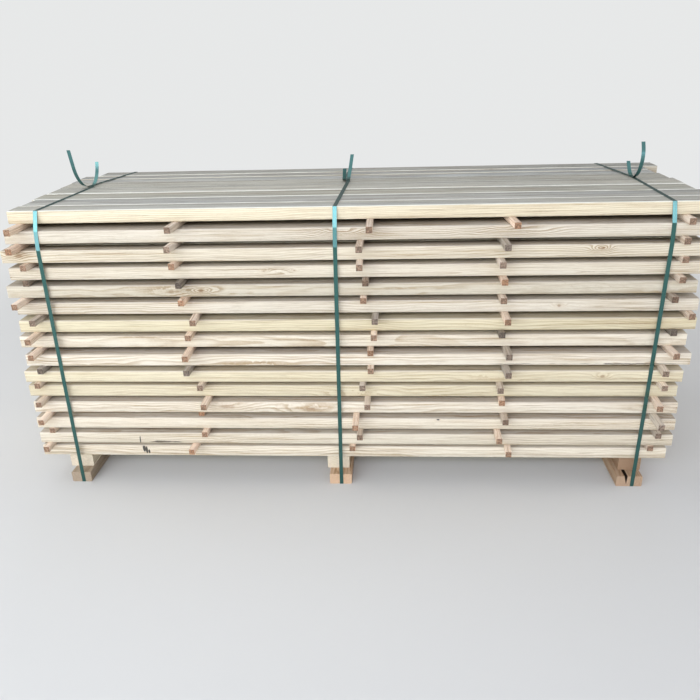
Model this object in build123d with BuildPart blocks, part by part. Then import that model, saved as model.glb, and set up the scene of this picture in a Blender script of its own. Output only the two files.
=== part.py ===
from build123d import *
import os
from math import cos, radians, sin, tan

os.makedirs("parts", exist_ok=True)

# A stack of sawn boards in stickered layers, on three pairs of bearers, tied with three steel straps.
# Sizes are in millimetres. X runs along the boards, -Y is the front and +Z is up.
# The origin is on the ground, at the middle of the boards' length and of the layers' depth.
# Layers and gaps are counted from the top down, and the boards of a layer from the front back.

# Boards
board_length = 2735.0
board_width = 119.0
board_thickness = 50.0
board_arris = 2.0
board_clearance = 1.5
boards_per_layer = 8
layer_count = 15

# The boards come in mixed widths: this much is added to board_width, across one layer
board_width_steps = [-19, 12, 8, 27, 27, -18, -34, -6]
# Each layer starts this many boards further round the list, so that the joints don't line up
boards_rolled_per_layer = 3

# How far each layer lies to the right, and how far its front edge lies back
layer_shifts = [45, 35, 10, 20, -5, 15, 15, -5, 15, -5, -10, 0, 0, 0, -10]
layer_setbacks = [24, -4, -12, 2, 0, 8, 0, 14, -8, -10, 8, 0, -6, -6, 14]
# How far the ends of the boards of the top layer stand out of line to the right
top_board_staggers = [5, 10, -5, 0, -10, -20, -20, 50]
# The boards hidden in the layers below stand out of line by up to three of these steps
hidden_stagger_step = 4.0

# Stickers, the sticks across the boards that keep the layers apart
sticker_thickness = 25.0
sticker_width = 25.0
sticker_length = 1090.0
# The end columns stand this far in from the ends of the boards, the middle ones this far from the centre
sticker_end_inset = 77.5
sticker_middle_spread = 640.0
sticker_centre_shift = 85.0
sticker_lines = {
    "left_end": -board_length / 2 + sticker_end_inset,
    "left_middle": -sticker_middle_spread,
    "centre": sticker_centre_shift,
    "right_middle": sticker_middle_spread,
    "right_end": board_length / 2 - sticker_end_inset,
}
# How far the front end of each sticker lies to the right of its line
sticker_drifts = {
    "left_end": [15, 5, 30, 5, -20, 30, 5, -5, 5, -30, -25, -20, -15, -40],
    "left_middle": [-15, -25, -25, -5, -5, 40, 5, -5, -15, 30, 45, 5, 25, -35],
    "centre": [25, -15, -15, 5, -5, 40, 35, 20, 20, -15, 5, -45, -30, -65],
    "right_middle": [15, -20, -30, -15, -15, 0, -10, 15, 15, -10, 5, 20, -5, 40],
    "right_end": [0, -5, 5, 0, -20, 60, 10, 10, -20, -5, -25, -15, 5, -10],
}
# How far the front end of each sticker stands out in front of the layers
sticker_reaches = {
    "left_end": [80, 80, 45, 5, 80, 65, 85, 70, 40, 25, 55, 75, 10, 45],
    "left_middle": [70, 75, 45, 50, 45, 70, 45, 85, 60, 45, 75, -15, 40, 60],
    "centre": [105, 100, 85, 40, 30, 65, 50, 30, 40, 45, 70, 110, 60, 25],
    "right_middle": [70, 100, 70, 45, 45, 80, 25, 75, 85, 70, 30, 60, 85, 65],
    "right_end": [40, 35, 20, 35, 45, 30, 10, 70, 70, 45, 80, 100, 35, 10],
}
# How many degrees each sticker is turned out of square, its back end to the right
sticker_slants = {
    "left_end": [0],
    "left_middle": [4, 3, 3, -1, 0, -4, -1, -2, 0, 0, 0, 0, 0, 3],
    "centre": [0, 1, -1, 0, 0, 1, 0, -1],
    "right_middle": [-4, -1, 0, 0, 0, 0, 0, 0, -2, 3, 4, 0, 1, 4],
    "right_end": [0, 0, 0, 0, 0, 0, 0, -2, 4, 0, 4, 0, 0, 0],
}

# Bearers, in three pairs square to the boards: an upper timber on a lower one
# The outer pairs stand in from the ends of the boards
left_bearer_inset = 138.5
right_bearer_inset = 141.5
centre_bearer_shift = -49.0
bearer_lines = {
    "left": -board_length / 2 + left_bearer_inset,
    "centre": centre_bearer_shift,
    "right": board_length / 2 - right_bearer_inset,
}
upper_bearer_widths = {"left": 104.0, "centre": 97.0, "right": 95.0}
lower_bearer_widths = {"left": 89.0, "centre": 97.0, "right": 110.0}
lower_bearer_shifts = {"left": 11.0, "centre": 12.0, "right": -10.0}
upper_bearer_height = 80.0
lower_bearer_height = 50.0
upper_bearer_length = 910.0
lower_bearer_length = 987.0
upper_bearer_setback = 50.0
lower_bearer_reach = 3.0
bearer_arris = 3.0

# The lengthwise split in the top of the right-hand lower bearer
split_width = 13.0
split_depth = 42.0
split_from_side = 33.0

# Straps, flat steel band drawn tight round the layers and the bearers
strap_width = 16.0
strap_thickness = 1.0
# Each strap runs under its bearer, this far to the right of the bearer's line
strap_shifts = {"left": 18.0, "centre": 15.0, "right": 3.0}
strap_lines = {place: line + strap_shifts[place] for place, line in bearer_lines.items()}
# How many degrees each strap leans to the right on its way up the front
strap_leans = {"left": 0.52, "centre": 0.47, "right": 0.47}
# How far each strap strays to the right on top, from its front edge to its joint and to its back edge
strap_joint_strays = {"left": 5.0, "centre": 10.0, "right": 14.0}
strap_back_strays = {"left": 74.0, "centre": 11.0, "right": -36.0}
# How far each joint lies behind the front of the layers
strap_joint_depths = {"left": 555.0, "centre": 588.0, "right": 575.0}
# How far the two ends pass each other at the joint before they curl up and away,
# and how far each lies to its own side there
strap_laps = {"left": 45.0, "centre": 36.0, "right": -6.0}
strap_side_steps = {"left": 12.0, "centre": 8.5, "right": 0.0}
# The loose ends: the radius and the sweep in degrees of the curl, and the straight length past it
forward_tail_radii = {"left": 127.0, "centre": 60.0, "right": 86.0}
forward_tail_sweeps = {"left": 80.0, "centre": 75.0, "right": 127.0}
forward_tail_ends = {"left": 75.0, "centre": 20.0, "right": 23.0}
back_tail_radii = {"left": 115.0, "centre": 124.0, "right": 48.0}
back_tail_sweeps = {"left": 78.0, "centre": 60.0, "right": 64.0}
back_tail_ends = {"left": 9.0, "centre": 49.0, "right": 36.0}
# How many degrees each loose end leans to the right as it rises
forward_tail_leans = {"left": -2.5, "centre": 6.0, "right": 3.5}
back_tail_leans = {"left": 0.0, "centre": 8.5, "right": -5.0}
# The groove that each strap has pressed into the underside of its lower bearer
groove_side_clearance = 0.5
groove_seat_clearance = 0.15
groove_ground_clearance = 0.3

# Heights
bearers_top = lower_bearer_height + upper_bearer_height
layer_pitch = board_thickness + sticker_thickness
stack_top = bearers_top + layer_count * board_thickness + (layer_count - 1) * sticker_thickness
strap_seat = strap_thickness + groove_ground_clearance
groove_depth = strap_seat + groove_seat_clearance


def board_widths(layer):
    """The widths of the boards of one layer, front to back."""
    steps = board_width_steps
    start = layer * boards_rolled_per_layer
    return [board_width + steps[(start + n) % len(steps)] for n in range(boards_per_layer)]


layer_depth = sum(board_widths(0)) + (boards_per_layer - 1) * board_clearance
stack_front = -layer_depth / 2


def layer_bottom(layer):
    """The height of the underside of a layer."""
    return stack_top - board_thickness - layer * layer_pitch


def layer_front(layer):
    """Where the front edge of a layer lies along Y."""
    return stack_front + layer_setbacks[layer % len(layer_setbacks)]


def board_left_end(layer, board):
    """Where the left end of a board lies along X."""
    shift = layer_shifts[layer % len(layer_shifts)]
    if layer == 0:
        stagger = top_board_staggers[board % len(top_board_staggers)]
    else:
        stagger = hidden_stagger_step * ((board * (layer + 3) + 3) % 7 - 3)
    return -board_length / 2 + shift + stagger


lower_bearer_front = stack_front - lower_bearer_reach
stack_back = max(
    [layer_front(n) + layer_depth for n in range(layer_count)]
    + [lower_bearer_front + lower_bearer_length]
)

# Layers of boards
for layer in range(layer_count):
    with BuildPart() as boards:
        front = layer_front(layer)
        middle = layer_bottom(layer) + board_thickness / 2
        for board, width in enumerate(board_widths(layer)):
            with BuildSketch(Plane.YZ.offset(board_left_end(layer, board))) as section:
                with Locations((front + width / 2, middle)):
                    Rectangle(width, board_thickness)
                chamfer(section.vertices(), board_arris)
            extrude(amount=board_length)
            front += width + board_clearance
    boards.part.label = f"boards_layer_{layer + 1:02d}"
    export_step(boards.part, f"parts/{boards.part.label}.step")

# Columns of stickers
for column, line in sticker_lines.items():
    with BuildPart() as stickers:
        for gap in range(layer_count - 1):
            drift = sticker_drifts[column][gap % len(sticker_drifts[column])]
            reach = sticker_reaches[column][gap % len(sticker_reaches[column])]
            slant = radians(sticker_slants[column][gap % len(sticker_slants[column])])
            front_end = Plane(
                origin=(line + drift, stack_front - reach, layer_bottom(gap) - sticker_thickness / 2),
                x_dir=(cos(slant), -sin(slant), 0),
                z_dir=(sin(slant), cos(slant), 0),
            )
            with BuildSketch(front_end):
                Rectangle(sticker_width, sticker_thickness)
            extrude(amount=sticker_length)
    stickers.part.label = f"stickers_{column}"
    export_step(stickers.part, f"parts/{stickers.part.label}.step")

# Bearers
for place, line in bearer_lines.items():
    with BuildPart() as upper:
        with BuildSketch(Plane.XZ.offset(-(stack_front + upper_bearer_setback))) as section:
            with Locations((line, lower_bearer_height + upper_bearer_height / 2)):
                Rectangle(upper_bearer_widths[place], upper_bearer_height)
            chamfer(section.vertices(), bearer_arris)
        extrude(amount=-upper_bearer_length)
    upper.part.label = f"bearer_upper_{place}"
    export_step(upper.part, f"parts/{upper.part.label}.step")

    lower_line = line + lower_bearer_shifts[place]
    lower_width = lower_bearer_widths[place]
    with BuildPart() as lower:
        with BuildSketch(Plane.XZ.offset(-lower_bearer_front)) as section:
            with Locations((lower_line, lower_bearer_height / 2)):
                Rectangle(lower_width, lower_bearer_height)
            chamfer(section.vertices(), bearer_arris)
            with Locations((strap_lines[place], groove_depth / 2)):
                Rectangle(strap_width + 2 * groove_side_clearance, groove_depth, mode=Mode.SUBTRACT)
            if place == "right":
                split_left = lower_line - lower_width / 2 + split_from_side
                with BuildLine():
                    Polyline(
                        (split_left, lower_bearer_height),
                        (split_left + split_width, lower_bearer_height),
                        (split_left + split_width * 0.8, lower_bearer_height - split_depth),
                        close=True,
                    )
                make_face(mode=Mode.SUBTRACT)
        extrude(amount=-lower_bearer_length)
    lower.part.label = f"bearer_lower_{place}"
    export_step(lower.part, f"parts/{lower.part.label}.step")

# The outline that a tight band takes, seen along the boards: the hull of the layers and the lower bearer
with BuildSketch(Plane.YZ) as taut_outline:
    with BuildLine():
        for layer in range(layer_count):
            near = layer_front(layer)
            far = stack_back
            low = layer_bottom(layer)
            high = low + board_thickness
            Polyline((near, low), (far, low), (far, high), (near, high), close=True)
        Polyline(
            (lower_bearer_front, strap_seat),
            (stack_back, strap_seat),
            (stack_back, lower_bearer_height),
            (lower_bearer_front, lower_bearer_height),
            close=True,
        )
    make_hull()

# Straps
for place, line in strap_lines.items():
    half = strap_width / 2
    lean = radians(strap_leans[place])
    top_front = layer_front(0)
    top_line = line + stack_top * tan(lean)
    joint = stack_front + strap_joint_depths[place]
    joint_line = top_line + strap_joint_strays[place]
    back_line = top_line + strap_back_strays[place]
    with BuildPart() as strap:
        # Front and underside, in one plane that leans with the strap
        upright = Plane(origin=(line, 0, 0), x_dir=(0, 1, 0), z_dir=(cos(lean), 0, -sin(lean)))
        with BuildSketch(upright) as run:
            add(taut_outline.sketch_local)
            offset(amount=strap_thickness, kind=Kind.INTERSECTION, mode=Mode.REPLACE)
            add(taut_outline.sketch_local, mode=Mode.SUBTRACT)
            with Locations((top_front, stack_top - strap_thickness)):
                Rectangle(
                    layer_depth * 2,
                    strap_thickness * 4,
                    align=(Align.MIN, Align.MIN),
                    mode=Mode.SUBTRACT,
                )
            with Locations((stack_back, 0)):
                Rectangle(
                    strap_thickness * 4,
                    stack_top * 2,
                    align=(Align.MIN, Align.MIN),
                    mode=Mode.SUBTRACT,
                )
        extrude(amount=half, both=True)
        # Back, leaning from the line on top to the line of the underside
        with BuildSketch(Plane.XZ.offset(-stack_back)):
            with BuildLine():
                Polyline(
                    (back_line - half, stack_top + strap_thickness),
                    (back_line + half, stack_top + strap_thickness),
                    (line + half, groove_ground_clearance),
                    (line - half, groove_ground_clearance),
                    close=True,
                )
            make_face()
        extrude(amount=-strap_thickness)
        # Each end comes along the top to the joint, one from the front and one from the back
        side_step = strap_side_steps[place]
        half_lap = strap_laps[place] / 2
        front_end = (top_line, top_front, joint_line + side_step, joint - half_lap)
        back_end = (back_line, stack_back, joint_line - side_step, joint + half_lap)
        curls = (
            (front_end, 1, back_tail_radii, back_tail_sweeps, back_tail_ends, back_tail_leans),
            (back_end, -1, forward_tail_radii, forward_tail_sweeps, forward_tail_ends, forward_tail_leans),
        )
        for (from_x, from_y, to_x, to_y), way, radii, sweeps, ends, leans in curls:
            with BuildSketch(Plane.XY.offset(stack_top)):
                with BuildLine():
                    Polyline(
                        (from_x - half, from_y),
                        (from_x + half, from_y),
                        (to_x + half, to_y),
                        (to_x - half, to_y),
                        close=True,
                    )
                make_face()
            extrude(amount=strap_thickness)
            # Past the joint the loose end curls up in its own leaning plane, with its width level
            tail_lean = radians(leans[place])
            across = (way * cos(tail_lean), 0, -way * sin(tail_lean))
            with BuildSketch(Plane(origin=(to_x, to_y, stack_top), x_dir=(0, way, 0), z_dir=across)):
                with BuildLine():
                    curl = JernArc((0, 0), (1, 0), radii[place], sweeps[place])
                    tip = PolarLine(curl @ 1, ends[place], direction=curl % 1)
                    offset(curl + tip, amount=strap_thickness, side=Side.LEFT)
                make_face()
            extrude(amount=half, both=True, dir=(1, 0, 0))
    strap.part.label = f"strap_{place}"
    export_step(strap.part, f"parts/{strap.part.label}.step")
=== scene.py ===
"""Stack of lumber: the looks of a strapped stack of sawn boards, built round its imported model."""

import math
import random

import bmesh
import bpy
from mathutils import Matrix, Vector


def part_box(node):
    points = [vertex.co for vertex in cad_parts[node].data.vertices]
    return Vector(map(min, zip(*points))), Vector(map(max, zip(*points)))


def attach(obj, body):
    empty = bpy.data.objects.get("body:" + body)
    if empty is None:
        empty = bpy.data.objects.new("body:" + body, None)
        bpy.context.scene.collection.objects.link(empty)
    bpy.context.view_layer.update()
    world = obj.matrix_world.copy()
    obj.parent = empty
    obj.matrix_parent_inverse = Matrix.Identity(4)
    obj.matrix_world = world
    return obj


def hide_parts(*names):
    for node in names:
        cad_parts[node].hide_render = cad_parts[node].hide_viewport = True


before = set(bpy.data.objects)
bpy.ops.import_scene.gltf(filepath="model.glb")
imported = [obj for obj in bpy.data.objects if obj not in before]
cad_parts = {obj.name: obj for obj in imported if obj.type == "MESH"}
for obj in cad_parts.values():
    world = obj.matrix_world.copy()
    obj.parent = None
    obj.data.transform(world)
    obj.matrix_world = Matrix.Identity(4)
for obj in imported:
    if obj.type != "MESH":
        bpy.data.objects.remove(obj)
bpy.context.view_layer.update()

bl_info = {
    "name": "Stack of lumber",
    "version": (1, 0, 0),
    "blender": (4, 5, 0),
    "location": "View3D > Sidebar > Lumber",
    "description": "Sawn boards in stickered layers on bearers, tied with steel straps",
    "category": "Object",
}


def from_srgb(red, green, blue):
    """A colour as a screen shows it, 0 to 255, as the light values that Blender uses."""
    parts = []
    for level in (red, green, blue):
        level /= 255.0
        parts.append(level / 12.92 if level <= 0.04045 else ((level + 0.055) / 1.055) ** 2.4)
    return tuple(parts)


BODY = "root"
LAYERS = 15
COLUMNS = ("left_end", "left_middle", "centre", "right_middle", "right_end")
PLACES = ("left", "centre", "right")

# The seeds of all random draws, and how far the seeds of single lengths of wood reach
BOARD_DRAWS = 11
STICKER_DRAWS = 23
BEARER_DRAWS = 31
SEED_REACH = 50.0
# The seed of the stickers' hollows; the boards' hollows take the number of their layer
STICKER_HOLLOWS = 3

# How each layer's front board looks, top layer first: how yellow it is, how grey, how light
FRONT_TONES = (
    (0.55, 0.05, 0.99),
    (0.15, 0.10, 0.90),
    (0.30, 0.05, 0.89),
    (0.25, 0.08, 0.92),
    (0.30, 0.10, 0.80),
    (0.15, 0.08, 0.91),
    (0.85, 0.05, 0.86),
    (0.20, 0.08, 1.00),
    (0.10, 0.08, 1.02),
    (0.70, 0.05, 0.93),
    (0.70, 0.08, 0.90),
    (0.10, 0.08, 1.02),
    (0.20, 0.08, 1.02),
    (0.25, 0.12, 0.96),
    (0.20, 0.08, 1.02),
)
# The ranges from which the other boards' three values are drawn
BOARD_TONES = ((0.2, 0.8), (0.0, 0.3), (0.9, 1.02))

# The top layer: how yellow, how grey, and how much the drawn light strays
TOP_YELLOWS = (0.2, 0.6)
TOP_GREY = 0.2
TOP_STRAY = (0.98, 1.02)
# How light each of its boards is, front board first
TOP_LIGHTS = (1.00, 0.94, 0.87, 1.02, 0.93, 0.95, 0.76, 0.78)
# How much thinner each of its boards is than its nominal size, front board first
TOP_THINNESS = (0.0, 0.012, 0.006, 0.0, 0.040, 0.070, 0.035, 0.0)
# The height in metres above which upward faces belong to the top layer
TOP_LAYER_HEIGHT = 1.20

# The stickers from the top gap down: how orange each is, how grey, how light
STICKER_TONES = {
    "left_end": (
        (0.5, 0.1, 1.05), (1.0, 0.0, 0.95), (0.4, 0.3, 1.00), (0.3, 0.6, 0.60), (0.4, 0.2, 1.05),
        (0.2, 0.7, 0.95), (0.5, 0.2, 1.00), (0.5, 0.1, 1.00), (0.0, 1.0, 0.75), (0.4, 0.3, 1.00),
        (0.4, 0.3, 0.95), (0.4, 0.1, 1.08), (0.2, 0.2, 1.00), (0.5, 0.2, 1.02),
    ),
    "left_middle": (
        (0.2, 0.5, 0.95), (0.1, 0.6, 1.12), (0.9, 0.2, 0.95), (0.0, 1.0, 0.50), (0.8, 0.0, 1.10),
        (0.4, 0.3, 1.02), (0.4, 0.2, 1.05), (0.6, 0.1, 1.00), (0.0, 1.0, 0.80), (0.2, 0.5, 1.00),
        (0.4, 0.2, 1.02), (1.0, 0.0, 0.95), (0.6, 0.2, 1.00), (0.9, 0.0, 1.05),
    ),
    "centre": (
        (0.4, 0.3, 0.90), (0.2, 0.7, 1.05), (0.3, 0.4, 1.05), (0.4, 0.5, 0.70), (0.5, 0.2, 1.02),
        (0.0, 0.9, 0.95), (0.2, 0.2, 1.15), (0.7, 0.0, 0.85), (0.3, 0.3, 1.05), (0.0, 0.7, 1.10),
        (0.1, 0.5, 1.10), (0.5, 0.0, 1.10), (0.3, 0.5, 0.85), (0.5, 0.1, 1.05),
    ),
    "right_middle": (
        (0.8, 0.0, 1.00), (0.0, 1.0, 0.90), (0.1, 0.6, 1.10), (1.0, 0.0, 0.95), (0.4, 0.4, 0.95),
        (0.5, 0.1, 1.00), (0.0, 1.0, 0.55), (0.1, 0.8, 0.85), (0.1, 0.8, 0.85), (0.1, 0.7, 1.05),
        (0.8, 0.0, 1.05), (0.3, 0.5, 0.80), (0.5, 0.2, 1.00), (0.3, 0.1, 1.10),
    ),
    "right_end": (
        (0.3, 0.3, 1.05), (0.3, 0.4, 1.00), (0.3, 0.3, 1.02), (0.4, 0.3, 0.95), (0.4, 0.4, 0.60),
        (0.5, 0.3, 0.95), (0.0, 1.0, 0.55), (0.6, 0.3, 1.00), (0.1, 0.6, 1.05), (0.0, 0.5, 1.20),
        (0.6, 0.2, 1.00), (0.0, 0.8, 1.10), (0.2, 0.7, 0.85), (0.4, 0.3, 1.00),
    ),
}

# The bearers: how pink each is, how grey, how light
BEARER_TONES = {
    "bearer_upper_left": (0.05, 0.05, 1.00),
    "bearer_lower_left": (0.50, 0.45, 0.68),
    "bearer_upper_centre": (0.00, 0.15, 1.04),
    "bearer_lower_centre": (0.85, 0.05, 1.02),
    "bearer_upper_right": (1.00, 0.05, 0.60),
    "bearer_lower_right": (0.85, 0.15, 0.76),
}

# Knots on the fronts: place along the stack, height, half length and half height, in metres
FRONT_KNOTS = (
    (-1.285, 1.060, 0.022, 0.012),
    (-0.570, 0.905, 0.012, 0.009),
    (-0.310, 0.985, 0.007, 0.004),
    (-0.190, 0.985, 0.006, 0.003),
    (0.850, 0.830, 0.010, 0.008),
    (0.985, 1.064, 0.012, 0.006),
    (1.045, 0.530, 0.012, 0.009),
    (0.385, 0.326, 0.008, 0.004),
)
# How many times as long and as tall the grain runs round each of them
KNOT_REACH = (4.5, 2.6)
# Stretches of the fronts where the grain runs wild, given as the knots are
FRONT_SWIRLS = (
    (-1.290, 1.060, 0.110, 0.040),
    (-0.250, 0.985, 0.080, 0.030),
    (0.985, 1.060, 0.080, 0.035),
    (-0.030, 1.135, 0.300, 0.040),
    (0.620, 1.135, 0.420, 0.040),
    (-0.620, 0.905, 0.220, 0.040),
)
# Shakes on the fronts, as long thin spots
FRONT_SHAKES = (
    (1.090, 0.5850, 0.300, 0.0026),
    (0.700, 0.5850, 0.120, 0.0016),
    (-0.800, 0.2120, 0.085, 0.0042),
    (-0.825, 0.2135, 0.035, 0.0065),
)
# Dark smears of paint on the fronts
FRONT_SMEARS = (
    (-0.916, 0.222, 0.0030, 0.021),
    (-0.914, 0.165, 0.0080, 0.020),
    (-0.903, 0.158, 0.0060, 0.021),
    (-0.893, 0.150, 0.0050, 0.012),
    (0.386, 0.327, 0.0075, 0.0055),
)
# How far the edges of all these spots are shaken about, in metres
SPOT_JITTER = (0.008, 0.0, 0.006)

# Bands along a board, from its middle towards the back, in metres: each one fades in between two lines
FRONT_ARRIS = (-0.0515, -0.0560)
TOP_FRONT_ARRIS = (-0.0450, -0.0490)
BACK_JOINT = (0.0465, 0.0520)
# How far inside a bearer's sides the painted shade on the walls of its split begins, and where it is full
SPLIT_DEPTHS = (0.004, 0.006)

# Shades by which a colour is multiplied
LATE_WOOD_SHADE = (0.64, 0.53, 0.40)
BOLD_RING_SHADE = (0.50, 0.44, 0.40)
HAIR_SHADE = (0.60, 0.52, 0.44)
FIBRE_SHADE = (0.62, 0.58, 0.52)
BLOTCH_SHADE = (0.84, 0.81, 0.76)
END_RING_SHADE = (0.62, 0.53, 0.45)
ROUND_KNOT_SHADE = (0.72, 0.55, 0.36)
# A painted shade for the upward faces between the layers, where the layers above shade them
GAP_PAINTED_SHADE = (0.62, 0.61, 0.62)
GREY_SHADES = ((1.03, 1.02, 0.93), (0.93, 0.98, 1.04))
DARKER_GREY_SHADE = (0.48, 0.47, 0.43)
LIGHTER_GREY_SHADE = (1.32, 1.32, 1.28)
# A painted shade for the straps' flat top runs, in place of the dark surroundings they mirror
FLAT_STRAP_PAINTED_SHADE = (0.26, 0.25, 0.24)
# Colours that cover what lies under them
KNOT_COLOUR = (0.30, 0.17, 0.09)
CRACK_COLOUR = (0.075, 0.052, 0.036)
SHAKE_COLOUR = (0.06, 0.042, 0.03)
# A painted shade for the walls inside a bearer's split
SPLIT_PAINTED_SHADE_COLOUR = (0.035, 0.022, 0.015)
SMEAR_COLOUR = (0.02, 0.02, 0.022)
# Dirt and painted shadow in the joints of the top layer
JOINT_DIRT_AND_SHADOW_COLOUR = (0.10, 0.095, 0.085)
# A pale colour for the top layer's front arrises, worn and painted lighter as a highlight
TOP_ARRIS_WORN_AND_HIGHLIT_COLOUR = from_srgb(238, 238, 229)
STRAP_DUST_COLOUR = (0.16, 0.19, 0.17)

# The heights in metres between which the straps' loose tails begin
TAIL_HEIGHTS = (1.238, 1.246)

# The lamps: place, aim, width, height, watts and colour
WHITE = (1.0, 1.0, 1.0)
BLUISH = (0.80, 0.80, 1.0)
LAMPS = {
    "front": ((-2.6, -6.0, 2.7), (-0.5, 0.0, 1.0), 9.0, 1.8, 307.0, (0.93, 1.0, 0.985)),
    "sky": ((-0.6, -6.0, 4.2), (-0.3, 0.0, 1.2), 9.0, 1.0, 185.0, BLUISH),
    "top": ((-1.8, 0.1, 4.4), (-0.5, -0.1, 1.0), 3.0, 3.0, 34.0, WHITE),
    "left_fill": ((-7.5, 0.4, 2.4), (-1.4, 0.3, 0.7), 4.5, 2.4, 130.0, WHITE),
    "right_fill": ((7.5, 0.4, 2.4), (1.4, 0.3, 0.7), 4.5, 2.4, 130.0, WHITE),
    "back_fill": ((0.0, 7.6, 3.6), (0.0, 0.5, 0.8), 9.0, 2.4, 170.0, WHITE),
    # Two small panes that the straps mirror in the stretches under their first bends
    "left_pane": ((-4.05, -6.0, 0.95), (-1.2, 0.0, 1.1), 1.8, 0.7, 21.0, BLUISH),
    "middle_pane": ((-0.5, -6.0, 0.95), (-0.1, 0.0, 1.1), 1.5, 0.7, 7.0, BLUISH),
}
# The world's own light on the stack
AIR_COLOUR = (0.95, 0.97, 1.0)
AIR_STRENGTH = 0.40
# Half the floor's width, and the distances between which it runs out into the backdrop, in metres
FLOOR_REACH = 14.0
FLOOR_FADE = (2.2, 6.0)
# The camera's sensor in millimetres, and how far it sees in metres
SENSOR_WIDTH = 36.0
SIGHT = 100.0


class TreeMaker:
    """Adds nodes to one tree and joins them."""

    def __init__(self, tree):
        self.nodes = tree.nodes
        self.links = tree.links

    def put(self, kind, values=None, **settings):
        """Adds a node, with its settings and its inputs by name or number."""
        node = self.nodes.new(kind)
        for key, value in settings.items():
            setattr(node, key, value)
        for key, value in (values or {}).items():
            self.feed(node.inputs[key], value)
        return node

    def feed(self, socket, value):
        """Joins a socket to another one, or gives it a value."""
        if isinstance(value, bpy.types.NodeSocket):
            self.links.new(value, socket)
        else:
            socket.default_value = value

    def math(self, operation, *values):
        """The result of one Math node."""
        node = self.put("ShaderNodeMath", operation=operation)
        for socket, value in zip(node.inputs, values):
            self.feed(socket, value)
        return node.outputs[0]

    def times(self, first, *others):
        """The product of some values."""
        for other in others:
            first = self.math("MULTIPLY", first, other)
        return first

    def plus(self, first, *others):
        """The sum of some values."""
        for other in others:
            first = self.math("ADD", first, other)
        return first

    def larger(self, first, second):
        """The larger one of two values."""
        return self.math("MAXIMUM", first, second)

    def size_of(self, value):
        """A value without its sign."""
        return self.math("ABSOLUTE", value)

    def centred(self, value):
        """A value from 0 to 1, moved so that it lies round 0."""
        return self.math("SUBTRACT", value, 0.5)

    def remainder(self, share):
        """What a share leaves of the whole."""
        return self.math("SUBTRACT", 1.0, share)

    def vector(self, operation, *values):
        """The result of one Vector Math node."""
        node = self.put("ShaderNodeVectorMath", operation=operation)
        for socket, value in zip(node.inputs, values):
            self.feed(socket, value)
        return node.outputs["Value" if operation == "LENGTH" else "Vector"]

    def joined(self, x=0.0, y=0.0, z=0.0):
        """A vector from its three parts."""
        return self.put("ShaderNodeCombineXYZ", {0: x, 1: y, 2: z}).outputs[0]

    def apart(self, vector):
        """The three parts of a vector."""
        return self.put("ShaderNodeSeparateXYZ", {0: vector}).outputs

    def span(self, value, low, high, to_low=0.0, to_high=1.0):
        """Carries a value smoothly from one range to another."""
        values = {"Value": value, "From Min": low, "From Max": high, "To Min": to_low, "To Max": to_high}
        return self.put("ShaderNodeMapRange", values, interpolation_type="SMOOTHSTEP").outputs["Result"]

    def mix(self, factor, first, second, blend="MIX"):
        """The mixture of two colours."""
        node = self.put("ShaderNodeMix", data_type="RGBA", blend_type=blend)
        for key, part in ((0, factor), (6, first), (7, second)):
            if isinstance(part, tuple) and len(part) == 3:
                part = part + (1.0,)
            self.feed(node.inputs[key], part)
        return node.outputs[2]

    def tinted(self, colour, shade):
        """A colour multiplied by a shade."""
        return self.mix(1.0, colour, shade, "MULTIPLY")

    def shaded(self, colour, share, shade):
        """A colour of which only a share is multiplied by a shade."""
        return self.mix(share, colour, self.tinted(colour, shade))

    def lit(self, colour, level):
        """A colour made lighter or darker by one level."""
        return self.tinted(colour, self.joined(level, level, level))

    def noise(self, vector, scale=1.0, detail=2.0, rough=0.5):
        """A value from 0 to 1 from a noise texture."""
        values = {"Vector": vector, "Scale": scale, "Detail": detail, "Roughness": rough}
        return self.put("ShaderNodeTexNoise", values).outputs[0]

    def attribute(self, name, output="Vector"):
        """What a material reads from a mesh's attribute."""
        return self.put("ShaderNodeAttribute", attribute_name=name).outputs[output]

    def object_place(self):
        """The place of each point of the surface."""
        return self.put("ShaderNodeTexCoord").outputs["Object"]

    def facing(self):
        """The way in which each point of the surface faces."""
        return self.apart(self.put("ShaderNodeNewGeometry").outputs["Normal"])


def bare_material(name):
    """A new material without any nodes."""
    material = bpy.data.materials.new(name)
    material.use_nodes = True
    material.node_tree.nodes.clear()
    return material


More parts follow.
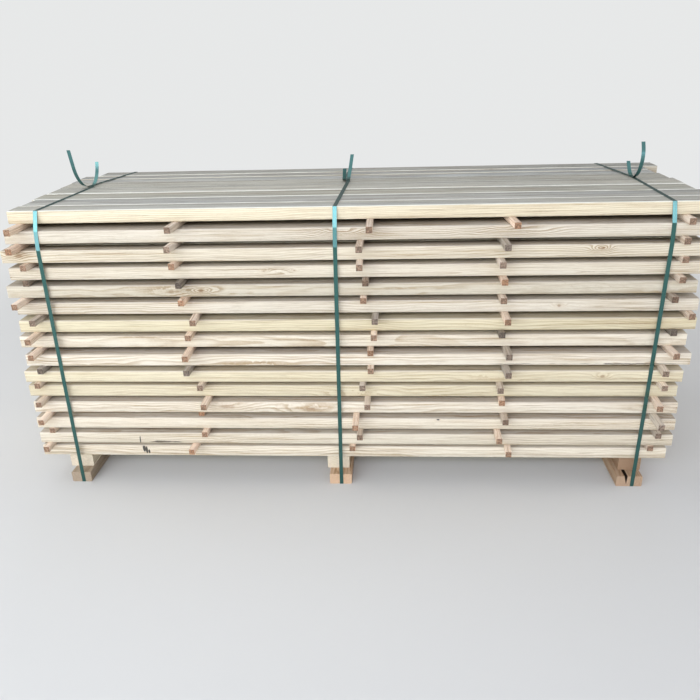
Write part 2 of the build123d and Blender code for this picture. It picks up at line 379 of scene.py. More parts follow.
class WoodMaker(TreeMaker):
    """Makes one sawn wood: rings of a round log, fibres, saw marks, knots and weathering."""

    # What holds where a wood gives nothing else
    end_share = 0.7  # how much of the end grain's own colour the ends show
    end_light = 1.0
    end_speckle = (0.84, 1.06)  # its darkest and its lightest specks
    side_warmth = 1.0  # how much of a length's warm tone its sides take
    side_light = 1.0
    open_above = -1.0  # the height in metres above which upward faces weather
    fronts = False  # whether its front carries marks at set places
    timber = None  # for one timber along Y: its middle, half width, seed and tone

    def __init__(self, tree, look):
        super().__init__(tree)
        for name, value in look.items():
            setattr(self, name, value)
        self.place = self.object_place()
        self.normal = self.facing()
        if self.timber:
            middle, self.half_width, seed, self.tone = self.timber
            self.aside, along, up = self.apart(self.vector("SUBTRACT", self.place, middle))
            grain = self.joined(along, self.aside, up)
            self.end_side = self.normal[1]
        else:
            grain = self.attribute("grain")
            seed = self.attribute("seed", "Fac")
            self.tone = self.apart(self.attribute("tone"))
            self.end_side = self.attribute("end_side", "Fac")
        self.along, self.across, self.up = self.apart(grain)
        chance = self.put("ShaderNodeTexWhiteNoise", {"W": seed}, noise_dimensions="1D").outputs["Color"]
        self.chances = self.apart(chance)
        # Each length reads its noise at a place of its own
        self.own = self.vector("ADD", grain, self.vector("MULTIPLY", chance, (37.0, 37.0, 37.0)))

    def build(self):
        """Joins all parts of the wood, from its grain to its shader."""
        self.find_knots()
        if self.fronts:
            self.mark_fronts()
        self.grow_rings()
        colour = self.weathered(self.sawn_sides())
        if self.fronts:
            colour = self.gaps_arrises_and_joints(colour)
        colour = self.knotted(self.cracked(self.with_ends(colour)))
        if self.timber:
            colour = self.split(colour)
        if self.fronts:
            colour = self.marked(colour)
        self.shade_surface(colour)

    def grained(self, along, across, detail=2.0, rough=0.5):
        """A noise drawn out along the grain, by how quickly it changes along and across it."""
        return self.noise(self.vector("MULTIPLY", self.own, (along, across, across)), 1.0, detail, rough)

    def find_knots(self):
        """Knots here and there; the grain runs round them."""
        stretched = self.vector("MULTIPLY", self.own, (2.1, 9.0, 9.0))
        cells = self.put("ShaderNodeTexVoronoi", {"Vector": stretched, "Scale": 1.0}).outputs
        chosen = self.math("GREATER_THAN", self.apart(cells["Color"])[0], 0.55)
        uneven = self.times(self.centred(self.noise(self.own, scale=70.0)), 0.09)
        gap = self.plus(cells["Distance"], uneven)
        self.knot = self.times(self.span(gap, 0.10, 0.035), chosen)
        self.round_knot = self.times(self.span(gap, 0.42, 0.05), chosen)

    def mark_fronts(self):
        """Where the front lies, with its knots and its wild grain."""
        self.front = self.span(self.normal[1], -0.5, -0.9)
        shaken = self.vector("MULTIPLY", self.noise(self.own, scale=45.0), SPOT_JITTER)
        shaken = self.vector("ADD", self.place, shaken)
        self.spot_place = self.vector("SUBTRACT", shaken, tuple(part / 2 for part in SPOT_JITTER))
        self.spot_along, _, self.spot_high = self.apart(self.spot_place)
        broad = [(x, z, long * KNOT_REACH[0], tall * KNOT_REACH[1]) for x, z, long, tall in FRONT_KNOTS]
        self.knot = self.larger(self.knot, self.spots(FRONT_KNOTS, 0.35))
        self.round_knot = self.larger(self.round_knot, self.spots(broad, 0.0))
        self.swirl = self.spots(FRONT_SWIRLS, 0.0)

    def spots(self, points, core):
        """How strongly a point of the front lies in any of the listed spots, fully so in their core."""
        total = 0.0
        for along, high, half_long, half_tall in points:
            long = self.math("DIVIDE", self.math("SUBTRACT", self.spot_along, along), half_long)
            tall = self.math("DIVIDE", self.math("SUBTRACT", self.spot_high, high), half_tall)
            total = self.larger(total, self.span(self.vector("LENGTH", self.joined(long, tall)), 1.0, core))
        return self.times(total, self.front)

    def grow_rings(self):
        """The late wood of each ring, by how far a point lies from the heart of its log."""
        wobble = self.centred(self.grained(2.1, 8.0, detail=3.0))
        across = self.math("SUBTRACT", self.across, self.times(self.centred(self.chances[0]), 0.15))
        up = self.plus(self.up, self.plus(self.times(self.chances[1], 0.09), 0.01))
        lean = self.times(self.along, self.times(self.centred(self.chances[2]), 0.022))
        radius = self.plus(self.vector("LENGTH", self.joined(0.0, across, up)), self.times(wobble, 0.044))
        radius = self.plus(radius, lean, self.times(self.round_knot, 0.016))
        if self.fronts:
            messy = self.centred(self.grained(3.6, 12.0, detail=1.0))
            radius = self.plus(radius, self.times(self.swirl, messy, 0.10))
        phase = self.math("FRACT", self.math("DIVIDE", radius, self.ring_gap))
        self.late = self.times(self.span(phase, 0.30, 0.90), self.span(phase, 1.0, 0.93))

    def sawn_sides(self):
        """The colour of the fresh sides: rings, streaks, hairs, fibres and blotches."""
        self.fibres = self.grained(11.0, 260.0, detail=4.0, rough=0.65)
        self.streaks = self.grained(2.2, 80.0, detail=5.0, rough=0.66)
        self.hairs = self.grained(2.2, 170.0, detail=3.0, rough=0.6)
        blotches = self.grained(1.6, 5.0, detail=3.0)
        bolder = self.span(self.grained(1.1, 3.0, detail=1.0), 0.35, 0.65, 0.25, 0.80)
        colour = self.mix(self.times(self.tone[0], self.side_warmth), self.fresh, self.warm)
        dark = self.plus(self.times(self.late, bolder), self.span(self.streaks, 0.49, 0.70, 0.0, 0.65))
        if self.fronts:
            # Yellow fronts are calmer, and wild grain is bolder
            wild = self.times(self.late, self.swirl)
            dark = self.times(dark, self.remainder(self.times(self.tone[0], 0.45)))
            dark = self.plus(dark, self.times(wild, 0.9))
        colour = self.shaded(colour, self.math("MINIMUM", dark, 1.0), LATE_WOOD_SHADE)
        if self.fronts:
            colour = self.shaded(colour, self.times(wild, 0.44), BOLD_RING_SHADE)
        colour = self.shaded(colour, self.span(self.hairs, 0.58, 0.66, 0.0, 0.75), HAIR_SHADE)
        colour = self.shaded(colour, self.span(self.fibres, 0.50, 0.74, 0.0, 0.60), FIBRE_SHADE)
        return self.shaded(colour, self.span(blotches, 0.40, 0.75, 0.0, 0.45), BLOTCH_SHADE)

    def weathered(self, colour):
        """Greys a length by its tone, and its open upward faces most of all."""
        self.patchy = self.span(self.grained(0.7, 9.0, detail=4.0, rough=0.6), 0.25, 0.7, 0.75, 1.0)
        self.open = self.span(self.apart(self.place)[2], self.open_above, self.open_above + 0.01)
        self.upward = self.span(self.normal[2], 0.80, 0.97, 0.0, self.top_grey)
        self.upward = self.times(self.upward, self.patchy, self.open)
        greyed = self.tinted(self.grey, self.mix(self.chances[2], *GREY_SHADES))
        darker = self.tinted(greyed, DARKER_GREY_SHADE)
        lighter = self.tinted(greyed, LIGHTER_GREY_SHADE)
        grain = self.mix(self.times(self.late, 0.35), greyed, darker)
        grain = self.mix(self.span(self.streaks, 0.44, 0.63, 0.0, 0.90), grain, darker)
        grain = self.mix(self.span(self.fibres, 0.42, 0.75, 0.0, 0.5), grain, darker)
        grain = self.mix(self.span(self.hairs, 0.44, 0.36, 0.0, 0.75), grain, lighter)
        return self.mix(self.larger(self.upward, self.times(self.tone[1], self.patchy)), colour, grain)

    def gaps_arrises_and_joints(self, colour):
        """Painted shade between the layers, arrises worn pale and painted lighter as a highlight, and dirt
        with painted shadow in the joints of the top layer.
        """
        # Painted shade on upward faces below the top layer, broken up in patches
        gap_shade = self.times(self.span(self.normal[2], 0.6, 0.9), self.remainder(self.open))
        gap_shade = self.times(gap_shade, self.span(self.patchy, 0.75, 1.0, 0.7, 1.0))
        colour = self.shaded(colour, gap_shade, GAP_PAINTED_SHADE)
        # Arrises worn pale, and painted lighter as a highlight where light catches them
        worn_and_highlit = self.times(self.span(self.grained(3.0, 9.0), 0.28, 0.46), self.span(self.normal[2], 0.3, 0.6))
        narrow = self.times(self.span(self.across, *FRONT_ARRIS), 0.75)
        uneven = self.plus(self.across, self.times(self.chances[0], 0.004))
        wide = self.times(self.span(uneven, *TOP_FRONT_ARRIS), self.open, 0.92)
        pale = self.mix(self.open, self.fresh, TOP_ARRIS_WORN_AND_HIGHLIT_COLOUR)
        colour = self.mix(self.times(worn_and_highlit, self.larger(narrow, wide)), colour, pale)
        # The joints on top darken with dirt and with painted shadow where the boards meet
        dirt_and_shadow = self.times(self.span(self.across, *BACK_JOINT), self.upward)
        dirt_and_shadow = self.times(dirt_and_shadow, self.span(self.grained(4.0, 9.0), 0.35, 0.60, 0.3, 0.9))
        return self.mix(dirt_and_shadow, colour, JOINT_DIRT_AND_SHADOW_COLOUR)

    def with_ends(self, colour):
        """Rings and specks on the sawn ends."""
        self.on_end = self.span(self.size_of(self.end_side), 0.8, 0.95)
        ends = self.mix(self.tone[0], self.end_colour, self.warm)
        ends = self.mix(self.times(self.tone[1], 0.7), ends, self.grey)
        ends = self.shaded(ends, self.times(self.late, 0.85), END_RING_SHADE)
        specks = self.noise(self.own, scale=150.0, detail=3.0, rough=0.7)
        ends = self.lit(ends, self.times(self.span(specks, 0.38, 0.66, *self.end_speckle), self.end_light))
        return self.mix(self.times(self.on_end, self.end_share), colour, ends)

    def cracked(self, colour):
        """Thin dark cracks along the grain, away from the fronts, which have theirs at set places."""
        self.crack = self.span(self.grained(1.3, 75.0, detail=1.0), 0.75, 0.79)
        if self.fronts:
            self.crack = self.times(self.crack, self.remainder(self.front))
        return self.mix(self.times(self.crack, 0.70), colour, CRACK_COLOUR)

    def knotted(self, colour):
        """The knots' own colour, and the browner grain round them."""
        colour = self.shaded(colour, self.times(self.round_knot, 0.22), ROUND_KNOT_SHADE)
        return self.mix(self.times(self.knot, 0.55), colour, KNOT_COLOUR)

    def split(self, colour):
        """Painted shade on the walls inside a timber's split."""
        inside = self.span(self.size_of(self.aside), *(self.half_width - depth for depth in SPLIT_DEPTHS))
        wall = self.span(self.size_of(self.normal[0]), 0.5, 0.7)
        return self.mix(self.times(inside, wall), colour, SPLIT_PAINTED_SHADE_COLOUR)

    def marked(self, colour):
        """The shakes and smears at set places on the front."""
        broken = self.noise(self.vector("MULTIPLY", self.spot_place, (14.0, 14.0, 90.0)))
        shakes = self.times(self.spots(FRONT_SHAKES, 0.6), self.span(broken, 0.36, 0.46), 0.85)
        colour = self.mix(shakes, colour, SHAKE_COLOUR)
        return self.mix(self.times(self.spots(FRONT_SMEARS, 0.7), 0.92), colour, SMEAR_COLOUR)

    def shade_surface(self, colour):
        """Each length's own lightness, its saw marks and its shader."""
        level = self.times(self.tone[2], self.span(self.on_end, 0.0, 1.0, self.side_light, 1.0))
        saw = self.put(
            "ShaderNodeTexWave",
            {"Vector": self.own, "Scale": 95.0, "Distortion": 3.0, "Detail": 2.0, "Detail Scale": 0.6},
            wave_type="BANDS",
            bands_direction="X",
        ).outputs["Fac"]
        height = self.plus(self.times(self.fibres, 0.6), self.times(saw, 0.25))
        height = self.math("SUBTRACT", height, self.times(self.crack, 1.2))
        bump = self.put("ShaderNodeBump", {"Strength": 0.5, "Distance": 0.0012, "Height": height})
        shader = self.put(
            "ShaderNodeBsdfPrincipled",
            {
                "Base Color": self.lit(colour, level),
                "Roughness": self.span(self.fibres, 0.3, 0.8, 0.72, 0.92),
                "Normal": bump.outputs[0],
                "Specular IOR Level": 0.25,
            },
        )
        self.put("ShaderNodeOutputMaterial", {0: shader.outputs[0]})


def wood_material(name, **look):
    """A sawn wood with the colours and shares that are given."""
    material = bare_material(name)
    WoodMaker(material.node_tree, look).build()
    return material


def show(name, data):
    """A new object in the scene."""
    shown = bpy.data.objects.new(name, data)
    bpy.context.collection.objects.link(shown)
    return shown


def solids_of(node):
    """The corner points of each separate solid of a CAD node."""
    mesh = bmesh.new()
    mesh.from_mesh(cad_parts[node].data)
    bmesh.ops.remove_doubles(mesh, verts=mesh.verts, dist=1e-5)
    found, solids = set(), []
    for start in mesh.verts:
        if start in found:
            continue
        found.add(start)
        reached, waiting = [], [start]
        while waiting:
            vert = waiting.pop()
            reached.append(vert.co.copy())
            for edge in vert.link_edges:
                other = edge.other_vert(vert)
                if other not in found:
                    found.add(other)
                    waiting.append(other)
        solids.append(reached)
    mesh.free()
    return solids


def box_of(points):
    """The lowest and highest corners of some points."""
    low = Vector([min(p[n] for p in points) for n in range(3)])
    high = Vector([max(p[n] for p in points) for n in range(3)])
    return low, high


def ends_of(points):
    """The middles of the front end and the back end of a solid that lies along Y."""
    ordered = sorted(points, key=lambda p: p.y)
    half = len(ordered) // 2
    return sum(ordered[:half], Vector()) / half, sum(ordered[half:], Vector()) / half


class SawMaker(TreeMaker):
    """Saws lengths of wood in a Geometry Nodes tree."""

    def made(self, kind, values, **settings):
        """The first result of a new node."""
        return self.put(kind, values, **settings).outputs[0]

    def stored(self, geometry, name, value, data_type, domain):
        """A geometry with a named attribute."""
        values = {"Geometry": geometry, "Name": name, "Value": value}
        return self.made("GeometryNodeStoreNamedAttribute", values, data_type=data_type, domain=domain)

    def recalled(self, name):
        """The vector that each point holds under a name."""
        return self.made("GeometryNodeInputNamedAttribute", {"Name": name}, data_type="FLOAT_VECTOR")

    def one_length(self, given, place):
        """One length along X, with eased edges, that knows its grain and its ends."""
        half = self.times(given["Length"], 0.5)
        ends = {"Start": self.joined(self.times(half, -1.0)), "End": self.joined(half)}
        spine = self.made("GeometryNodeCurvePrimitiveLine", ends)
        spine = self.made("GeometryNodeResampleCurve", {"Curve": spine, "Count": given["Steps along"]})
        sides = {"Width": given["Width"], "Height": given["Thickness"]}
        section = self.made("GeometryNodeCurvePrimitiveQuadrilateral", sides)
        easing = {"Curve": section, "Count": 1, "Radius": given["Arris"]}
        section = self.made("GeometryNodeFilletCurve", easing, mode="POLY")
        section = self.made("GeometryNodeSubdivideCurve", {"Curve": section, "Cuts": 1})
        sweep = {"Curve": spine, "Profile Curve": section, "Fill Caps": True}
        piece = self.made("GeometryNodeCurveToMesh", sweep)
        piece = self.stored(piece, "grain", place, "FLOAT_VECTOR", "POINT")
        face = self.apart(self.made("GeometryNodeInputNormal", {}))
        return self.stored(piece, "end_side", face[0], "FLOAT", "FACE")

    def hollowed(self, pieces, given, place):
        """Pieces whose faces are uneven from the saw."""
        shifted = self.vector("ADD", place, self.joined(given["Seed"]))
        slow = self.noise(self.vector("MULTIPLY", shifted, (3.0, 14.0, 14.0)))
        quick = self.noise(self.vector("MULTIPLY", shifted, (26.0, 60.0, 60.0)))
        depth = self.plus(self.times(slow, 0.7), self.times(quick, 0.3))
        depth = self.times(depth, self.times(given["Unevenness"], -1.0))
        normal = self.made("GeometryNodeInputNormal", {})
        offset = self.made("ShaderNodeVectorMath", {0: normal, "Scale": depth}, operation="SCALE")
        return self.made("GeometryNodeSetPosition", {"Geometry": pieces, "Offset": offset})


def sawn_tree():
    """Geometry Nodes that saw one length of wood at each point, with eased edges and an uneven face."""
    tree = bpy.data.node_groups.new("Sawn lengths", "GeometryNodeTree")
    sockets = (
        ("Geometry", "NodeSocketGeometry", None),
        ("Length", "NodeSocketFloat", 2.735),
        ("Width", "NodeSocketFloat", 0.119),
        ("Thickness", "NodeSocketFloat", 0.05),
        ("Arris", "NodeSocketFloat", 0.002),
        ("Steps along", "NodeSocketInt", 60),
        ("Unevenness", "NodeSocketFloat", 0.0008),
        ("Seed", "NodeSocketInt", 7),
        ("Material", "NodeSocketMaterial", None),
    )
    for name, kind, value in sockets:
        socket = tree.interface.new_socket(name=name, in_out="INPUT", socket_type=kind)
        if value is not None:
            socket.default_value = value
    tree.interface.new_socket(name="Geometry", in_out="OUTPUT", socket_type="NodeSocketGeometry")
    t = SawMaker(tree)
    given = t.put("NodeGroupInput").outputs
    place = t.made("GeometryNodeInputPosition", {})
    seats = {
        "Points": given["Geometry"],
        "Instance": t.one_length(given, place),
        "Rotation": t.recalled("turn"),
        "Scale": t.recalled("size"),
    }
    pieces = t.made("GeometryNodeInstanceOnPoints", seats)
    pieces = t.made("GeometryNodeRealizeInstances", {"Geometry": pieces})
    pieces = t.hollowed(pieces, given, place)
    pieces = t.made("GeometryNodeSetMaterial", {"Geometry": pieces, "Material": given["Material"]})
    t.put("NodeGroupOutput", {0: pieces})
    return tree


def sawn_pieces(name, lengths, tree, values):
    """One mesh piece of sawn lengths, each given as its middle, its size factors, turn, seed and tone."""
    points = bpy.data.meshes.new(name + "_points")
    points.from_pydata([entry["middle"] for entry in lengths], [], [])
    for key in ("size", "turn", "tone"):
        layer = points.attributes.new(key, "FLOAT_VECTOR", "POINT")
        for n, entry in enumerate(lengths):
            layer.data[n].vector = entry[key]
    seeds = points.attributes.new("seed", "FLOAT", "POINT")
    for n, entry in enumerate(lengths):
        seeds.data[n].value = entry["seed"]
    seat = show(name + "_points", points)
    sawing = seat.modifiers.new("Sawn lengths", "NODES")
    sawing.node_group = tree
    for item in tree.interface.items_tree:
        if item.in_out == "INPUT" and item.name in values:
            sawing[item.identifier] = values[item.name]
    made = bpy.data.meshes.new_from_object(seat.evaluated_get(bpy.context.evaluated_depsgraph_get()))
    made.name = name
    bpy.data.objects.remove(seat)
    return show(name, made)


def a_length(name, description, default, least=0.0):
    """A length that a user can change."""
    return bpy.props.FloatProperty(
        name=name, description=description, default=default, min=least, unit="LENGTH"
    )


def an_angle(name, description, degrees):
    """An angle that a user can change."""
    return bpy.props.FloatProperty(
        name=name, description=description, default=math.radians(degrees), subtype="ANGLE"
    )


def a_colour(name, description, default):
    """A colour that a user can change."""
    return bpy.props.FloatVectorProperty(
        name=name, description=description, default=default, subtype="COLOR"
    )


class LumberBoards(bpy.types.PropertyGroup):
    """How the boards look."""

    arris: a_length("Arris", "How far the long edges are eased", 0.002)
    unevenness: a_length("Unevenness", "How deep the saw left hollows", 0.0009)
    ring_gap: a_length("Ring gap", "How far the rings stand apart", 0.0078, least=0.001)
    steps: bpy.props.IntProperty(name="Steps", description="Cross cuts along a board", default=56, min=2)
    fresh: a_colour("Fresh wood", "Colour of pale fresh wood", from_srgb(234, 225, 210))
    yellow: a_colour("Yellow wood", "Colour of yellower wood", from_srgb(238, 226, 190))
    grey: a_colour("Grey wood", "Colour of weathered wood", from_srgb(181, 181, 179))
    end_grain: a_colour("End grain", "Colour of the sawn ends", from_srgb(205, 178, 135))


class LumberStickers(bpy.types.PropertyGroup):
    """How the stickers look."""

    arris: a_length("Arris", "How far the long edges are eased", 0.0012)
    unevenness: a_length("Unevenness", "How deep the saw left hollows", 0.0006)
    ring_gap: a_length("Ring gap", "How far the rings stand apart", 0.0045, least=0.001)
    steps: bpy.props.IntProperty(name="Steps", description="Cross cuts along a sticker", default=24, min=2)
    pale: a_colour("Pale wood", "Colour of the palest stickers", from_srgb(244, 231, 217))
    orange: a_colour("Orange wood", "Colour of the most orange stickers", from_srgb(210, 164, 130))
    grey: a_colour("Grey wood", "Colour of weathered stickers", from_srgb(164, 155, 145))
    end_grain: a_colour("End grain", "Colour of the sawn ends", from_srgb(180, 150, 126))


class LumberBearers(bpy.types.PropertyGroup):
    """How the bearers look."""

    ring_gap: a_length("Ring gap", "How far the rings stand apart", 0.007, least=0.001)
    pale: a_colour("Pale wood", "Colour of the palest bearers", from_srgb(238, 229, 208))
    pink: a_colour("Pink wood", "Colour of the pinkest bearers", from_srgb(220, 184, 152))
    grey: a_colour("Grey wood", "Colour of weathered bearers", from_srgb(165, 150, 130))
    end_grain: a_colour("End grain", "Colour of the sawn ends", from_srgb(242, 232, 212))


class LumberStraps(bpy.types.PropertyGroup):
    """How the straps look."""

    paint: a_colour("Paint", "Colour of the strap's paint", from_srgb(52, 104, 98))
    steel: a_colour("Steel", "Colour of bare steel", from_srgb(150, 155, 155))
    # The tails' paler colour is a painted sheen, for the sky that they mirror
    tails: a_colour("Tails", "Colour of the loose tails", from_srgb(106, 144, 146))


class LumberStage(bpy.types.PropertyGroup):
    """Where the camera stands and how the stage looks."""

    camera_place: bpy.props.FloatVectorProperty(
        name="Camera",
        description="Where the camera stands",
        default=(0.198, -3.118, 1.766),
        subtype="TRANSLATION",
    )
    yaw: an_angle("Yaw", "How far it looks to the left", 3.85)
    pitch: an_angle("Pitch", "How far it looks down", 22.96)
    roll: an_angle("Roll", "How far it leans over", -1.67)
    focal_pixels: bpy.props.FloatProperty(
        name="Focal length", description="Focal length in pixels of the picture", default=700.7
    )
    picture_width: bpy.props.FloatProperty(
        name="Picture width", description="Width of the picture in pixels", default=700.0
    )
    floor: a_colour("Floor", "Colour of the floor", (0.66, 0.66, 0.65))
    backdrop: a_colour("Backdrop", "Colour behind the stack", (0.80, 0.81, 0.81))


def dress(piece, slot, *nodes):
    """Puts a finished piece on the frame in place of its CAD nodes."""
    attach(piece, BODY)
    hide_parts(*nodes)


def paint_node(node, material):
    """Gives a CAD node its one material."""
    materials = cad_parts[node].data.materials
    materials.clear()
    materials.append(material)


def board_tone(draw, layer, board):
    """How yellow, how grey and how light a board is: layers count from 1, boards from 0 at the front."""
    drawn = tuple(draw.uniform(low, high) for low, high in BOARD_TONES)
    if board == 0:
        return FRONT_TONES[layer - 1]
    if layer == 1:
        return draw.uniform(*TOP_YELLOWS), TOP_GREY, draw.uniform(*TOP_STRAY) * TOP_LIGHTS[board]
    return drawn


class LUMBER_OT_boards(bpy.types.Operator):
    """Saw the boards of every layer"""

    bl_idname = "lumber.boards"
    bl_label = "Boards"

    def execute(self, context):
        settings = context.scene.lumber_boards
        material = wood_material(
            "board_wood",
            fresh=tuple(settings.fresh),
            warm=tuple(settings.yellow),
            grey=tuple(settings.grey),
            end_colour=tuple(settings.end_grain),
            ring_gap=settings.ring_gap,
            top_grey=0.95,
            open_above=TOP_LAYER_HEIGHT,
            fronts=True,
        )
        tree = sawn_tree()
        draw = random.Random(BOARD_DRAWS)
        for layer in range(1, LAYERS + 1):
            node = f"boards_layer_{layer:02d}"
            boxes = sorted((box_of(points) for points in solids_of(node)), key=lambda box: box[0].y)
            length = boxes[0][1].x - boxes[0][0].x
            width = sum(high.y - low.y for low, high in boxes) / len(boxes)
            thickness = boxes[0][1].z - boxes[0][0].z
            lengths = []
            for board, (low, high) in enumerate(boxes):
                tone = board_tone(draw, layer, board)
                thin = TOP_THINNESS[board] if layer == 1 else 0.0
                lengths.append(
                    {
                        "middle": (low + high) / 2 - Vector((0.0, 0.0, thin * thickness / 2)),
                        "size": (1.0, (high.y - low.y) / width, 1.0 - thin),
                        "turn": (0.0, 0.0, 0.0),
                        "seed": draw.uniform(0.0, SEED_REACH),
                        "tone": tone,
                    }
                )
            values = {
                "Length": length,
                "Width": width,
                "Thickness": thickness,
                "Arris": settings.arris,
                "Steps along": settings.steps,
                "Unevenness": settings.unevenness,
                "Seed": layer,
                "Material": material,
            }
            piece = sawn_pieces(f"sawn_boards_{layer:02d}", lengths, tree, values)
            dress(piece, "board_wood", node)
        return {"FINISHED"}


class LUMBER_OT_stickers(bpy.types.Operator):
    """Lay the stickers between the layers"""

    bl_idname = "lumber.stickers"
    bl_label = "Stickers"

    def execute(self, context):
        settings = context.scene.lumber_stickers
        material = wood_material(
            "sticker_wood",
            fresh=tuple(settings.pale),
            warm=tuple(settings.orange),
            grey=tuple(settings.grey),
            end_colour=tuple(settings.end_grain),
            end_share=1.0,
            end_light=0.76,
            end_speckle=(0.45, 1.22),
            side_warmth=0.40,
            side_light=1.22,
            ring_gap=settings.ring_gap,
            top_grey=0.20,
        )
        tree = sawn_tree()
        draw = random.Random(STICKER_DRAWS)
        for column in COLUMNS:
            node = f"stickers_{column}"
            sticks = sorted(solids_of(node), key=lambda points: -max(p.z for p in points))
            low, high = box_of(sticks[0])
            thickness = high.z - low.z
            lengths = []
            for gap, points in enumerate(sticks):
                near, far = ends_of(points)
                run = far - near
                # The sticks of a column are equally long, so the last one gives the length
                length = run.length
                lengths.append(
                    {
                        "middle": (near + far) / 2,
                        "size": (1.0, 1.0, 1.0),
                        "turn": (0.0, 0.0, math.atan2(run.y, run.x)),
                        "seed": draw.uniform(0.0, SEED_REACH),
                        "tone": STICKER_TONES[column][gap],
                    }
                )
            values = {
                "Length": length,
                "Width": thickness,
                "Thickness": thickness,
                "Arris": settings.arris,
                "Steps along": settings.steps,
                "Unevenness": settings.unevenness,
                "Seed": STICKER_HOLLOWS,
                "Material": material,
            }
            piece = sawn_pieces(f"sawn_stickers_{column}", lengths, tree, values)
            dress(piece, "sticker_wood", node)
        return {"FINISHED"}


class LUMBER_OT_bearers(bpy.types.Operator):
    """Set out the bearers"""

    bl_idname = "lumber.bearers"
    bl_label = "Bearers"

    def execute(self, context):
        settings = context.scene.lumber_bearers
        draw = random.Random(BEARER_DRAWS)
        for node, tone in BEARER_TONES.items():
            low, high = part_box(node)
            middle = tuple((Vector(low) + Vector(high)) / 2)
            half_width = (high[0] - low[0]) / 2
            material = wood_material(
                node + "_wood",
                fresh=tuple(settings.pale),
                warm=tuple(settings.pink),
                grey=tuple(settings.grey),
                end_colour=tuple(settings.end_grain),
                ring_gap=settings.ring_gap,
                top_grey=0.3,
                timber=(middle, half_width, draw.uniform(0.0, SEED_REACH), tone),
            )
            paint_node(node, material)
        return {"FINISHED"}


def strap_material(paint, steel, tails):
    """Painted steel band: thin glossy paint that lets the steel shine through, with fine scratches."""
    material = bare_material("strap_paint")
    t = TreeMaker(material.node_tree)
    place = t.object_place()
    scratches = t.noise(t.vector("MULTIPLY", place, (420.0, 24.0, 24.0)), detail=3.0, rough=0.6)
    dust = t.noise(place, scale=9.0, detail=4.0, rough=0.6)
    colour = t.mix(t.span(dust, 0.45, 0.8, 0.0, 0.22), paint, t.mix(0.5, paint, STRAP_DUST_COLOUR))
    colour = t.mix(t.span(scratches, 0.68, 0.78, 0.0, 0.3), colour, steel)
    # Lying flat on top it is dull, and darkened by a painted shade that stands in for the dark surroundings
    # it would mirror
    flat = t.span(t.facing()[2], 0.90, 0.97)
    colour = t.shaded(colour, flat, FLAT_STRAP_PAINTED_SHADE)
    # Its loose tails are duller than the tight runs, and paler by a painted sheen that stands in for the sky
    # they mirror
    loose = t.times(t.span(t.apart(place)[2], *TAIL_HEIGHTS), t.remainder(flat))
    colour = t.mix(t.times(loose, 0.45), colour, tails)
    rough = t.larger(t.span(dust, 0.3, 0.8, 0.14, 0.26), t.times(flat, 0.75))
    metal = t.math("SUBTRACT", 0.85, t.times(flat, 0.83))
    bump = t.put("ShaderNodeBump", {"Strength": 0.2, "Distance": 0.0005, "Height": dust})
    shader = t.put(
        "ShaderNodeBsdfPrincipled",
        {
            "Base Color": colour,
            "Roughness": t.larger(rough, t.times(loose, 0.34)),
            "Metallic": t.math("SUBTRACT", metal, t.times(loose, 0.25)),
            "Specular IOR Level": 0.35,
            "Coat Weight": t.times(t.remainder(t.larger(flat, loose)), 0.6),
            "Coat Roughness": 0.12,
            "Coat IOR": 1.6,
            "Normal": bump.outputs[0],
        },
    )
    t.put("ShaderNodeOutputMaterial", {0: shader.outputs[0]})
    return material


class LUMBER_OT_straps(bpy.types.Operator):
    """Tie the stack with its steel straps"""

    bl_idname = "lumber.straps"
    bl_label = "Straps"

    def execute(self, context):
        settings = context.scene.lumber_straps
        material = strap_material(tuple(settings.paint), tuple(settings.steel), tuple(settings.tails))
        for place in PLACES:
            paint_node(f"strap_{place}", material)
        return {"FINISHED"}


def seen_directly(t):
    """1 for what the camera sees, also in metal and through glass, and 0 for light on the object."""
    rays = t.put("ShaderNodeLightPath").outputs
    return t.larger(rays["Is Camera Ray"], t.larger(rays["Is Glossy Ray"], rays["Is Transmission Ray"]))


def floor_material(colour, backdrop):
    """A plain matt floor that runs out into the backdrop's colour away from the stack."""
    material = bare_material("floor_paint")
    t = TreeMaker(material.node_tree)
    far = t.span(t.vector("LENGTH", t.object_place()), *FLOOR_FADE)
    matt = t.put("ShaderNodeBsdfDiffuse", {"Color": (*colour, 1.0)}).outputs[0]
    plain = t.put("ShaderNodeEmission", {"Color": (*backdrop, 1.0), "Strength": 1.0}).outputs[0]
    out = t.put("ShaderNodeMixShader", {0: t.times(far, seen_directly(t)), 1: matt, 2: plain})
    t.put("ShaderNodeOutputMaterial", {0: out.outputs[0]})
    return material


def floor_piece(colour, backdrop):
    """The floor that the stack stands on."""
    mesh = bpy.data.meshes.new("floor")
    corners = [(x * FLOOR_REACH, y * FLOOR_REACH, 0) for x, y in ((-1, -1), (1, -1), (1, 1), (-1, 1))]
    mesh.from_pydata(corners, [], [(0, 1, 2, 3)])
    mesh.materials.append(floor_material(colour, backdrop))
    return show("floor", mesh)


def studio_world(backdrop):
    """Soft light from all round, and the backdrop's colour where the camera looks past the floor."""
    world = bpy.data.worlds.new("studio")
    world.use_nodes = True
    world.node_tree.nodes.clear()
    t = TreeMaker(world.node_tree)
    plain = t.put("ShaderNodeBackground", {"Color": (*AIR_COLOUR, 1.0), "Strength": AIR_STRENGTH})
    back = t.put("ShaderNodeBackground", {"Color": (*backdrop, 1.0), "Strength": 1.0})
    both = t.put("ShaderNodeMixShader", {0: seen_directly(t), 1: plain.outputs[0], 2: back.outputs[0]})
    t.put("ShaderNodeOutputWorld", {0: both.outputs[0]})
    return world


def area_lamp(name, place, aim, wide, tall, power, colour):
    """A large soft lamp at a place, turned towards its aim."""
    lamp = bpy.data.lights.new(name, "AREA")
    lamp.shape = "RECTANGLE"
    lamp.size = wide
    lamp.size_y = tall
    lamp.energy = power
    lamp.color = colour
    holder = show(name, lamp)
    holder.visible_camera = False
    way = Vector(aim) - Vector(place)
    holder.matrix_world = Matrix.Translation(place) @ way.to_track_quat("-Z", "Y").to_matrix().to_4x4()


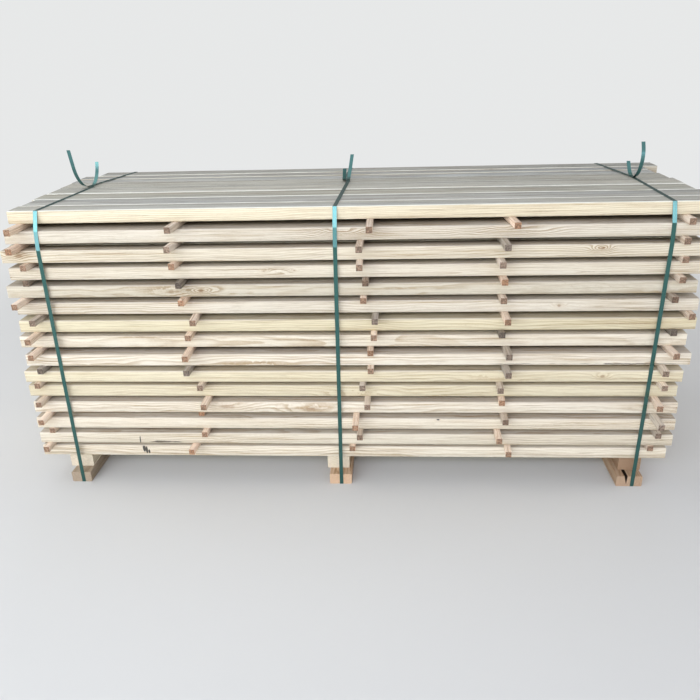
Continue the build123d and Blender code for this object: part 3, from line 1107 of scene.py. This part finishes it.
def camera_turn(yaw, pitch, roll):
    """How a camera stands that looks along Y, then to the left, down and leaning over."""
    level = Vector((-math.sin(yaw), math.cos(yaw), 0.0))
    right = Vector((math.cos(yaw), math.sin(yaw), 0.0))
    ahead = level * math.cos(pitch) + Vector((0.0, 0.0, -math.sin(pitch)))
    up = level * math.sin(pitch) + Vector((0.0, 0.0, math.cos(pitch)))
    turned_right = right * math.cos(roll) + up * math.sin(roll)
    turned_up = up * math.cos(roll) - right * math.sin(roll)
    return Matrix((turned_right, turned_up, -ahead)).transposed().to_4x4()


class LUMBER_OT_stage(bpy.types.Operator):
    """Set the floor, the lamps and the camera"""

    bl_idname = "lumber.stage"
    bl_label = "Stage"

    def execute(self, context):
        scene = context.scene
        settings = scene.lumber_stage
        floor = floor_piece(tuple(settings.floor), tuple(settings.backdrop))
        scene.world = studio_world(tuple(settings.backdrop))
        for name, lamp in LAMPS.items():
            area_lamp(name, *lamp)
        lens = bpy.data.cameras.new("camera")
        lens.sensor_fit = "HORIZONTAL"
        lens.sensor_width = SENSOR_WIDTH
        lens.lens = SENSOR_WIDTH * settings.focal_pixels / settings.picture_width
        lens.clip_end = SIGHT
        camera = show("camera", lens)
        turn = camera_turn(settings.yaw, settings.pitch, settings.roll)
        camera.matrix_world = Matrix.Translation(settings.camera_place) @ turn
        scene.camera = camera
        scene.view_settings.view_transform = "Standard"
        return {"FINISHED"}


class LUMBER_PT_stack(bpy.types.Panel):
    """The stack's steps, in order"""

    bl_label = "Stack of lumber"
    bl_idname = "LUMBER_PT_stack"
    bl_space_type = "VIEW_3D"
    bl_region_type = "UI"
    bl_category = "Lumber"

    def draw(self, context):
        for operator in OPERATORS:
            self.layout.operator(operator.bl_idname)


GROUPS = {
    "lumber_boards": LumberBoards,
    "lumber_stickers": LumberStickers,
    "lumber_bearers": LumberBearers,
    "lumber_straps": LumberStraps,
    "lumber_stage": LumberStage,
}
OPERATORS = (LUMBER_OT_boards, LUMBER_OT_stickers, LUMBER_OT_bearers, LUMBER_OT_straps, LUMBER_OT_stage)


def register():
    """Makes the settings, the steps and the panel known to Blender."""
    for group in GROUPS.values():
        bpy.utils.register_class(group)
    for operator in OPERATORS:
        bpy.utils.register_class(operator)
    bpy.utils.register_class(LUMBER_PT_stack)
    for name, group in GROUPS.items():
        setattr(bpy.types.Scene, name, bpy.props.PointerProperty(type=group))


def unregister():
    """Takes them away again."""
    for name in GROUPS:
        delattr(bpy.types.Scene, name)
    bpy.utils.unregister_class(LUMBER_PT_stack)
    for operator in reversed(OPERATORS):
        bpy.utils.unregister_class(operator)
    for group in reversed(list(GROUPS.values())):
        bpy.utils.unregister_class(group)


def main():
    """Builds the stack and its stage."""
    register()
    bpy.ops.lumber.boards()
    bpy.ops.lumber.stickers()
    bpy.ops.lumber.bearers()
    bpy.ops.lumber.straps()
    bpy.ops.lumber.stage()


if __name__ == "__main__":
    main()
